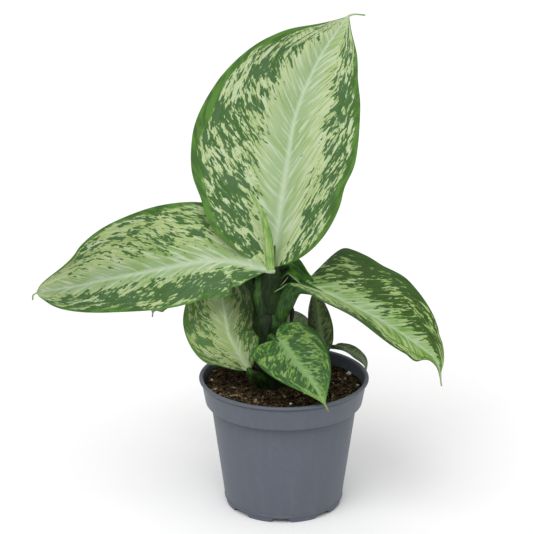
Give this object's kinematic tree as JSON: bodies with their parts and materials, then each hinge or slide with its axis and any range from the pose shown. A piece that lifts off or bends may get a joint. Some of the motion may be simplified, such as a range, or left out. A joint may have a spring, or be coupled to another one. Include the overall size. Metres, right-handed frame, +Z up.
{
  "type": "potted dieffenbachia",
  "caption": "Young foliage plant with broad variegated leaves on a short sheathed stem, in soil in a tapered moulded nursery pot.",
  "frame": {"origin": "centre of the pot's underside, on the surface that the pot stands on", "axes": "+Z up along the pot's axis, -Y towards the plant's best side, +X to its right seen from that side"},
  "size_m": [0.2777, 0.1761, 0.3365],
  "materials": {
    "pot_plastic": "slate grey moulded polypropylene, satin",
    "peat_soil": "dark moist peat compost with fibres and perlite grains",
    "stem_skin": "dark green smooth sheathed stem",
    "leaf_stalk": "green smooth fleshy leaf stalk",
    "variegated_leaf": "satin leaf, cream-green centre with dark green margin and blotches along the veins",
    "young_leaf": "pale green furled young leaf",
    "dry_scale": "dry brown bud scale"
  },
  "bodies": {
    "root": {"nursery_pot": "pot_plastic", "potting_soil": "peat_soil", "main_stem": "stem_skin", "right_shoot_stem": "stem_skin", "top_leaf": "variegated_leaf", "left_leaf": "variegated_leaf", "right_leaf": "variegated_leaf", "lower_left_leaf": "variegated_leaf", "front_leaf": "variegated_leaf", "right_back_leaf": "variegated_leaf", "arching_leaf": "variegated_leaf", "back_leaf": "variegated_leaf", "back_left_leaf": "variegated_leaf", "new_leaf": "young_leaf", "top_leaf_stalk": "leaf_stalk", "left_leaf_stalk": "leaf_stalk", "right_leaf_stalk": "leaf_stalk", "lower_left_leaf_stalk": "leaf_stalk", "front_leaf_stalk": "leaf_stalk", "right_back_leaf_stalk": "leaf_stalk", "arching_leaf_stalk": "leaf_stalk", "back_leaf_stalk": "leaf_stalk", "back_left_leaf_stalk": "leaf_stalk", "dry_bud_scale": "dry_scale"}
  },
  "joints": []
}
